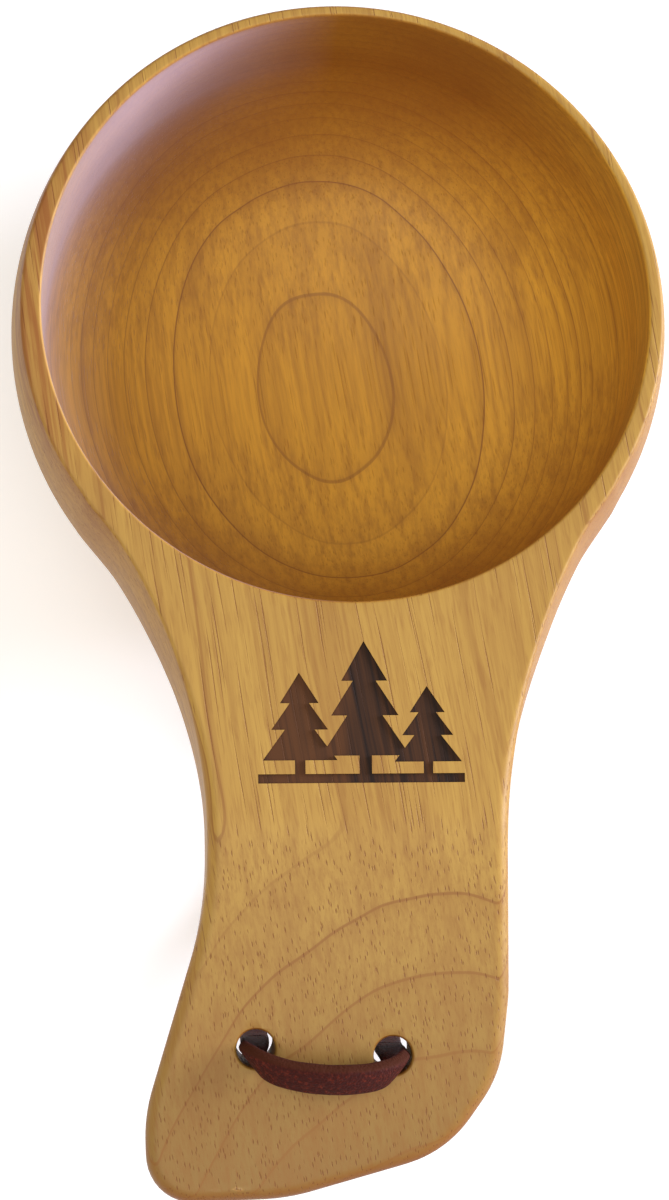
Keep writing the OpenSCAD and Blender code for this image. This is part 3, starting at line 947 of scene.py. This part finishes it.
def oiled_wood(w, s):
    """Rubberwood, carved, sanded and oiled until it has a thin satin coat: pale gold along the grain,
    darker brown where it is cut across, with fine open pores and soft growth rings."""
    material, tree, shader = blank_material("oiled_wood")
    place = put(tree, "ShaderNodeTexCoord").outputs["Object"]
    grain, bent = bent_grain(tree, place)
    late = growth_rings(tree, bent, w)
    # Bundles of fibres about 0.9 mm wide and 45 mm long. Single fibres are too fine to show.
    fibre = grain_noise(tree, bent, (0.9, 45, 0.9), 4.0, 0.6)["Fac"]
    # Broad streaks about 7 mm wide.
    streak = grain_noise(tree, bent, (7, 120, 7), 3.0, 0.55)["Fac"]
    # Cloudy patches of oil about 20 mm across.
    cloud = grain_noise(tree, grain, (18, 24, 18), 3.0)["Fac"]

    # Pores: slim vessels, 0.2 mm wide and up to 20 mm long, about 0.4 mm apart across the grain,
    # drawn a little wider and sparser than real ones, so that they show.
    pore_size = (1 / 0.4, 1 / 42, 1 / 0.4)
    pore_place = put(tree, "ShaderNodeMapping", {"Vector": bent, "Scale": pore_size}).outputs["Vector"]
    pore_cell = put(
        tree, "ShaderNodeTexVoronoi", {"Vector": pore_place, "Scale": 1.0, "Randomness": 1.0}, feature="F1"
    ).outputs["Distance"]
    pore = put(
        tree, "ShaderNodeMapRange",
        {"Value": pore_cell, "From Min": 0.14, "From Max": 0.28, "To Min": 1.0, "To Max": 0.0},
    ).outputs["Result"]
    # Short flecks of darker fibres, about 0.3 mm wide and 4 mm long.
    fleck = grain_noise(tree, bent, (0.3, 4, 0.3), 2.0)["Fac"]

    # How much the surface is cut across the grain.
    normal = put(tree, "ShaderNodeNewGeometry").outputs["Normal"]
    axis = (-math.sin(GRAIN_TURN), -math.cos(GRAIN_TURN), 0.0)
    across = put(tree, "ShaderNodeVectorMath", {0: normal, 1: axis}, operation="DOT_PRODUCT").outputs["Value"]
    across = put(tree, "ShaderNodeMath", {0: across}, operation="ABSOLUTE").outputs[0]
    end = put(
        tree, "ShaderNodeMapRange",
        {"Value": across, "From Min": 0.12, "From Max": 0.95}, interpolation_type="SMOOTHSTEP",
    ).outputs["Result"]

    split = put(tree, "ShaderNodeSeparateXYZ", {0: place})
    facing = put(tree, "ShaderNodeSeparateXYZ", {0: normal})
    inside = hollow_area(tree, place, facing.outputs["Z"], s)
    # Painted shade and painted sky reflection: towards the handle's end the wood is mixed darker and greyer,
    # because its slope tilts away from the light.
    worn = put(
        tree, "ShaderNodeMapRange",
        {"Value": split.outputs["Y"], "From Min": -0.074, "From Max": -0.122, "To Min": 0.0, "To Max": 0.62},
    ).outputs["Result"]
    # Painted light: the hollow is mixed to a lighter, more golden colour, standing in for the light inside
    # it.
    pale = put(tree, "ShaderNodeMix", {0: inside, 6: w.pale, 7: w.inside}, data_type="RGBA").outputs[2]
    pale = put(tree, "ShaderNodeMix", {0: worn, 6: pale, 7: w.end_shade}, data_type="RGBA").outputs[2]
    base = put(tree, "ShaderNodeMix", {0: late, 6: pale, 7: w.mellow}, data_type="RGBA").outputs[2]
    half = put(
        tree, "ShaderNodeMapRange",
        {"Value": fibre, "From Min": 0.42, "From Max": 0.7, "To Min": 0.0, "To Max": 0.5},
    ).outputs["Result"]
    base = put(tree, "ShaderNodeMix", {0: half, 6: base, 7: w.mellow}, data_type="RGBA").outputs[2]
    wide = put(
        tree, "ShaderNodeMapRange",
        {"Value": streak, "From Min": 0.46, "From Max": 0.72, "To Min": 0.0, "To Max": 0.4},
    ).outputs["Result"]
    base = put(tree, "ShaderNodeMix", {0: wide, 6: base, 7: w.mellow}, data_type="RGBA").outputs[2]
    flecked = put(
        tree, "ShaderNodeMapRange",
        {"Value": fleck, "From Min": 0.5, "From Max": 0.72, "To Min": 0.0, "To Max": 0.42},
    ).outputs["Result"]
    still = put(tree, "ShaderNodeMath", {0: inside, 1: -0.55, 2: 1.0}, operation="MULTIPLY_ADD").outputs[0]
    flecked = put(tree, "ShaderNodeMath", {0: flecked, 1: still}, operation="MULTIPLY").outputs[0]
    base = put(tree, "ShaderNodeMix", {0: flecked, 6: base, 7: w.mellow}, data_type="RGBA").outputs[2]
    redder = red_area(tree, split, inside, fibre)
    base = put(tree, "ShaderNodeMix", {0: redder, 6: base, 7: w.red}, data_type="RGBA").outputs[2]
    soak = put(tree, "ShaderNodeMath", {0: cloud, 1: 0.5, 2: 0.55}, operation="MULTIPLY_ADD").outputs[0]
    soak = put(tree, "ShaderNodeMath", {0: soak, 1: end}, operation="MULTIPLY").outputs[0]
    base = put(tree, "ShaderNodeMix", {0: soak, 6: base, 7: w.end_grain}, data_type="RGBA").outputs[2]
    pore_depth = put(
        tree, "ShaderNodeMath", {0: inside, 1: -0.4, 2: 0.62}, operation="MULTIPLY_ADD"
    ).outputs[0]
    pore_depth = put(tree, "ShaderNodeMath", {0: pore, 1: pore_depth}, operation="MULTIPLY").outputs[0]
    base = put(tree, "ShaderNodeMix", {0: pore_depth, 6: base, 7: w.pore}, data_type="RGBA").outputs[2]

    # Painted shade: surfaces that face to the side, apart from the hollow, are multiplied darker and warmer
    # by the flanks' tint, as shade would make them.
    side_shade = put(
        tree, "ShaderNodeMapRange",
        {"Value": facing.outputs["Z"], "From Min": 0.25, "From Max": 0.85, "To Min": 1.0, "To Max": 0.0},
    ).outputs["Result"]
    side_shade = put(
        tree, "ShaderNodeMath", {0: side_shade, 1: inside}, operation="SUBTRACT", use_clamp=True
    ).outputs[0]
    base = put(
        tree, "ShaderNodeMix", {0: side_shade, 6: base, 7: w.flank}, data_type="RGBA", blend_type="MULTIPLY"
    ).outputs[2]

    burn = mark_area(tree, split, s)
    char = put(
        tree, "ShaderNodeMapRange",
        {"Value": fibre, "From Min": 0.38, "From Max": 0.66, "To Min": 0.0, "To Max": 0.75},
    ).outputs["Result"]
    left = put(
        tree, "ShaderNodeMapRange",
        {"Value": split.outputs["X"], "From Min": -0.0016, "From Max": 0.0004, "To Min": 0.55, "To Max": 0.0},
    ).outputs["Result"]
    char = put(tree, "ShaderNodeMath", {0: char, 1: left}, operation="ADD", use_clamp=True).outputs[0]
    scorched = put(tree, "ShaderNodeMix", {0: char, 6: w.burnt, 7: w.singed}, data_type="RGBA").outputs[2]
    base = put(tree, "ShaderNodeMix", {0: burn, 6: base, 7: scorched}, data_type="RGBA").outputs[2]
    tree.links.new(base, shader.inputs["Base Color"])

    dull = put(tree, "ShaderNodeMath", {0: end, 1: 0.10, 2: 0.40}, operation="MULTIPLY_ADD").outputs[0]
    dull = put(tree, "ShaderNodeMath", {0: cloud, 1: 0.16, 2: dull}, operation="MULTIPLY_ADD").outputs[0]
    dull = put(
        tree, "ShaderNodeMath", {0: burn, 1: 0.25, 2: dull}, operation="MULTIPLY_ADD", use_clamp=True
    ).outputs[0]
    tree.links.new(dull, shader.inputs["Roughness"])
    shader.inputs["IOR"].default_value = 1.48
    shader.inputs["Specular IOR Level"].default_value = 0.3
    shader.inputs["Coat Weight"].default_value = 0.04
    shader.inputs["Coat Roughness"].default_value = 0.3
    # Painted reflection: a lavender sheen, as strong as the hollow's wall faces +X, stands in for the
    # window's light caught on the side that faces it.
    window_sheen = put(
        tree, "ShaderNodeMapRange",
        {"Value": facing.outputs["X"], "From Min": 0.0, "From Max": 0.7, "To Min": 0.0, "To Max": 1.0},
    ).outputs["Result"]
    window_sheen = put(tree, "ShaderNodeMath", {0: inside, 1: window_sheen}, operation="MULTIPLY").outputs[0]
    tree.links.new(window_sheen, shader.inputs["Sheen Weight"])
    shader.inputs["Sheen Roughness"].default_value = 0.5
    shader.inputs["Sheen Tint"].default_value = w.window_sheen

    # Pores are about 0.06 mm deep, and fibres stand about 0.02 mm proud.
    lift = put(tree, "ShaderNodeMath", {0: fibre, 1: 0.35}, operation="MULTIPLY").outputs[0]
    lift = put(tree, "ShaderNodeMath", {0: pore, 1: -1.0, 2: lift}, operation="MULTIPLY_ADD").outputs[0]
    bump = put(tree, "ShaderNodeBump", {"Strength": 0.55, "Distance": 0.00006, "Height": lift})
    tree.links.new(bump.outputs["Normal"], shader.inputs["Normal"])
    return material


def oiled_leather(c):
    """Vegetable-tanned cowhide lace, dyed dark brown and oiled: smooth pebbled top side with a soft
    shine, creases that run across it, and matt cut edges."""
    material, tree, shader = blank_material("oiled_leather")
    place = put(tree, "ShaderNodeTexCoord").outputs["Object"]
    mm = put(tree, "ShaderNodeMapping", {"Vector": place, "Scale": (1000, 1000, 1000)}).outputs["Vector"]
    # Pebbles of the grain about 0.4 mm across, rubbed patches about 0.7 mm and creases about 0.3 mm,
    # all drawn about twice as coarse as on thin lace leather, so that they show.
    pebble = put(
        tree, "ShaderNodeTexVoronoi", {"Vector": mm, "Scale": 2.4, "Randomness": 1.0}, feature="F1"
    ).outputs["Distance"]
    patch = put(
        tree, "ShaderNodeTexNoise", {"Vector": mm, "Scale": 1.5, "Detail": 4.0, "Roughness": 0.65}
    ).outputs["Fac"]
    fine = put(
        tree, "ShaderNodeTexNoise", {"Vector": mm, "Scale": 3.5, "Detail": 3.0, "Roughness": 0.6}
    ).outputs["Fac"]
    edge = put(tree, "ShaderNodeAttribute", attribute_name="cut_edge").outputs["Fac"]
    rubbed = put(
        tree, "ShaderNodeMapRange",
        {"Value": patch, "From Min": 0.5, "From Max": 0.66, "To Min": 0.0, "To Max": 0.75},
    ).outputs["Result"]
    base = put(tree, "ShaderNodeMix", {0: rubbed, 6: c.face, 7: c.worn}, data_type="RGBA").outputs[2]
    hollow = put(
        tree, "ShaderNodeMapRange",
        {"Value": fine, "From Min": 0.3, "From Max": 0.6, "To Min": 0.6, "To Max": 0.0},
    ).outputs["Result"]
    base = put(tree, "ShaderNodeMix", {0: hollow, 6: base, 7: c.deep}, data_type="RGBA").outputs[2]
    base = put(tree, "ShaderNodeMix", {0: edge, 6: base, 7: c.cut}, data_type="RGBA").outputs[2]
    tree.links.new(base, shader.inputs["Base Color"])
    dull = put(tree, "ShaderNodeMath", {0: edge, 1: 0.2, 2: 0.55}, operation="MULTIPLY_ADD").outputs[0]
    dull = put(tree, "ShaderNodeMath", {0: fine, 1: 0.14, 2: dull}, operation="MULTIPLY_ADD").outputs[0]
    tree.links.new(dull, shader.inputs["Roughness"])
    shader.inputs["IOR"].default_value = 1.5
    shader.inputs["Specular IOR Level"].default_value = 0.16
    shader.inputs["Sheen Weight"].default_value = 0.02
    shader.inputs["Sheen Roughness"].default_value = 0.3
    shader.inputs["Sheen Tint"].default_value = c.bloom
    lift = put(tree, "ShaderNodeMath", {0: pebble, 1: 0.7, 2: fine}, operation="MULTIPLY_ADD").outputs[0]
    bump = put(tree, "ShaderNodeBump", {"Strength": 0.8, "Distance": 0.00016, "Height": lift})
    tree.links.new(bump.outputs["Normal"], shader.inputs["Normal"])
    return material


def studio_paper(c):
    """Matt white background paper, so bright that it is almost free of shadow."""
    material, tree, shader = blank_material("studio_paper")
    shader.inputs["Base Color"].default_value = c.floor
    shader.inputs["Roughness"].default_value = 0.9
    shader.inputs["Specular IOR Level"].default_value = 0.1
    shader.inputs["Emission Color"].default_value = c.floor
    shader.inputs["Emission Strength"].default_value = 0.32
    return material


# Operators.


class CUP_OT_camera(Operator):
    """Set the camera high above the handle's left side"""

    bl_idname = "cup.camera"
    bl_label = "Camera"

    def execute(self, context):
        turn, rise, roll = math.radians(-18.04), math.radians(77.65), math.radians(-1)
        back = Vector((math.sin(turn) * math.cos(rise), -math.cos(turn) * math.cos(rise), math.sin(rise)))
        right = Vector((0, 1, 0)).cross(back).normalized()
        up = back.cross(right)
        right, up = math.cos(roll) * right + math.sin(roll) * up, math.cos(roll) * up - math.sin(roll) * right
        data = bpy.data.cameras.new("camera")
        data.lens, data.sensor_fit = 95.46, "VERTICAL"
        data.sensor_height = 36
        data.sensor_width = 36
        data.clip_start, data.clip_end = 0.02, 20
        camera = bpy.data.objects.new("camera", data)
        context.scene.collection.objects.link(camera)
        turned = Matrix((right, up, back)).transposed().to_4x4()
        camera.matrix_world = Matrix.Translation((-0.0319, -0.1344, 0.4956)) @ turned
        context.scene.camera = camera
        return {"FINISHED"}


def leather(context):
    """The lace's material, made once."""
    return bpy.data.materials.get("oiled_leather") or oiled_leather(context.scene.cup_leather)


class CUP_OT_strands(Operator):
    """Make the lace's two free strands, from the holes down to the knot"""

    bl_idname = "cup.strands"
    bl_label = "Lace strands"

    def execute(self, context):
        s = context.scene.cup_lace
        ways = (
            ("lace_strand_left", STRAND_LEFT_ROUTE, -1, 0.0),
            ("lace_strand_right", STRAND_RIGHT_ROUTE, 1, 2.0),
        )
        for name, route, side, phase in ways:
            lean = np.tile([side, 0.0, 0.0], (len(route), 1))
            points, faces, raw, line = swept_strip(route, lean, s.width / MM, s.thickness / MM, 0.02, phase)
            piece = lace_piece(name + "_leather", points, faces, raw, leather(context))
        return {"FINISHED"}


class CUP_OT_bridge(Operator):
    """Make the stretch of the lace that shows, through the holes and over the handle"""

    bl_idname = "cup.bridge"
    bl_label = "Lace bridge"

    def execute(self, context):
        s = context.scene.cup_lace
        shape = CupShape(context.scene.cup_sizes)
        route = slope_place(shape, BRIDGE_ROUTE)
        lean = turning_lean(len(route), (-1, 0, 0), (0, 1, 0.7), (1, 0, 0))
        lean = slope_place(shape, lean) - slope_place(shape, np.zeros(3))
        # The lace is pinched in the holes and swells between them.
        t = np.linspace(-1, 1, len(flowing(route)))
        swell = 1.22 - 0.22 * smooth_step(np.abs(t), 0.3, 0.75)
        wide = s.width / MM * (0.98 + 0.8 * (swell - 1))
        points, faces, raw, _ = swept_strip(route, lean, wide, s.thickness / MM, 0.025, 1.0, swell)
        lace_piece("lace_bridge_leather", points, faces, raw, leather(context))
        return {"FINISHED"}


class CUP_OT_knot(Operator):
    """Make the knot that joins the strands, with the lace's two cut ends"""

    bl_idname = "cup.knot"
    bl_label = "Lace knot"

    def execute(self, context):
        s = context.scene.cup_lace
        parts = [
            wrap_strip(s),
            core_strip(s, -1, np.array(STRAND_LEFT_ROUTE[-1], float)),
            core_strip(s, 1, np.array(STRAND_RIGHT_ROUTE[-1], float)),
        ]
        lace_piece("lace_knot_leather", *joined(parts), leather(context))
        return {"FINISHED"}


class CUP_OT_cup(Operator):
    """Carve the bowl and handle, bore the lace holes and sink the burnt mark"""

    bl_idname = "cup.cup"
    bl_label = "Cup"

    def execute(self, context):
        s = context.scene.cup_sizes
        shape = CupShape(s)
        points, faces = cup_mesh(shape, s)
        wood = oiled_wood(context.scene.cup_wood, s)
        piece = new_piece("cup_carved", points, faces, wood, "cup")
        holes = [hole_cutter(shape, x, down, s.hole / MM / 2) for x, down in HOLE_PLACES]
        cut(piece, [*holes, mark_cutter(shape, s.burn_depth / MM)])
        piece.data.shade_smooth()
        piece.data.set_sharp_from_angle(angle=math.radians(38))
        return {"FINISHED"}


class CUP_OT_stage(Operator):
    """Lay the pale floor and set the studio lights"""

    bl_idname = "cup.stage"
    bl_label = "Floor and lights"

    def execute(self, context):
        look = context.scene.cup_stage
        half = 8.0
        mesh = bpy.data.meshes.new("floor")
        low = -0.0001
        corners = [(-half, -half, low), (half, -half, low), (half, half, low), (-half, half, low)]
        mesh.from_pydata(corners, [], [(0, 1, 2, 3)])
        mesh.materials.append(studio_paper(look))
        floor = bpy.data.objects.new("floor", mesh)
        context.scene.collection.objects.link(floor)
        # Each light: name, place, point it faces, width, height, watts, colour.
        lights = (
            ("window", (0.8, 0.08, 0.28), (0, -0.02, 0.05), 0.5, 0.3, 11.5, look.window),
            ("overhead", (-0.14, -0.28, 0.9), (0, -0.03, 0.05), 0.8, 0.8, 4.8, look.soft),
        )
        for name, place, target, width, height, power, shade in lights:
            data = bpy.data.lights.new(name, "AREA")
            data.shape, data.size, data.size_y = "RECTANGLE", width, height
            data.energy, data.color = power, shade[:3]
            lamp = bpy.data.objects.new(name, data)
            context.scene.collection.objects.link(lamp)
            lamp.location = place
            lamp.rotation_euler = (Vector(target) - Vector(place)).to_track_quat("-Z", "Y").to_euler()
        world = bpy.data.worlds.new("studio")
        world.use_nodes = True
        sky = world.node_tree.nodes["Background"]
        sky.inputs["Color"].default_value = (1, 1, 1, 1)
        sky.inputs["Strength"].default_value = 0.36
        context.scene.world = world
        context.scene.view_settings.view_transform = "Standard"
        return {"FINISHED"}


class CUP_PT_panel(Panel):
    bl_label = "Wooden Cup"
    bl_idname = "CUP_PT_panel"
    bl_space_type = "VIEW_3D"
    bl_region_type = "UI"
    bl_category = "Wooden Cup"

    def draw(self, context):
        layout = self.layout
        for operator in OPERATORS:
            layout.operator(operator.bl_idname)
        for name in GROUPS:
            box = layout.box()
            group = getattr(context.scene, name)
            for prop in group.bl_rna.properties:
                if prop.identifier not in ("rna_type", "name"):
                    box.prop(group, prop.identifier)


GROUPS = {
    "cup_sizes": CupSizes,
    "cup_lace": LaceSizes,
    "cup_wood": WoodFinish,
    "cup_leather": LeatherFinish,
    "cup_stage": StageLook,
}
OPERATORS = (CUP_OT_camera, CUP_OT_strands, CUP_OT_bridge, CUP_OT_knot, CUP_OT_cup, CUP_OT_stage)


def register():
    """Registers the property groups, operators and panel."""
    for group in GROUPS.values():
        bpy.utils.register_class(group)
    for name, group in GROUPS.items():
        setattr(bpy.types.Scene, name, PointerProperty(type=group))
    for item in (*OPERATORS, CUP_PT_panel):
        bpy.utils.register_class(item)


def unregister():
    """Takes back what register did."""
    for item in (CUP_PT_panel, *reversed(OPERATORS)):
        bpy.utils.unregister_class(item)
    for name, group in GROUPS.items():
        delattr(bpy.types.Scene, name)
        bpy.utils.unregister_class(group)


def main():
    register()
    for operator in OPERATORS:
        group, name = operator.bl_idname.split(".")
        getattr(getattr(bpy.ops, group), name)()


if __name__ == "__main__":
    main()
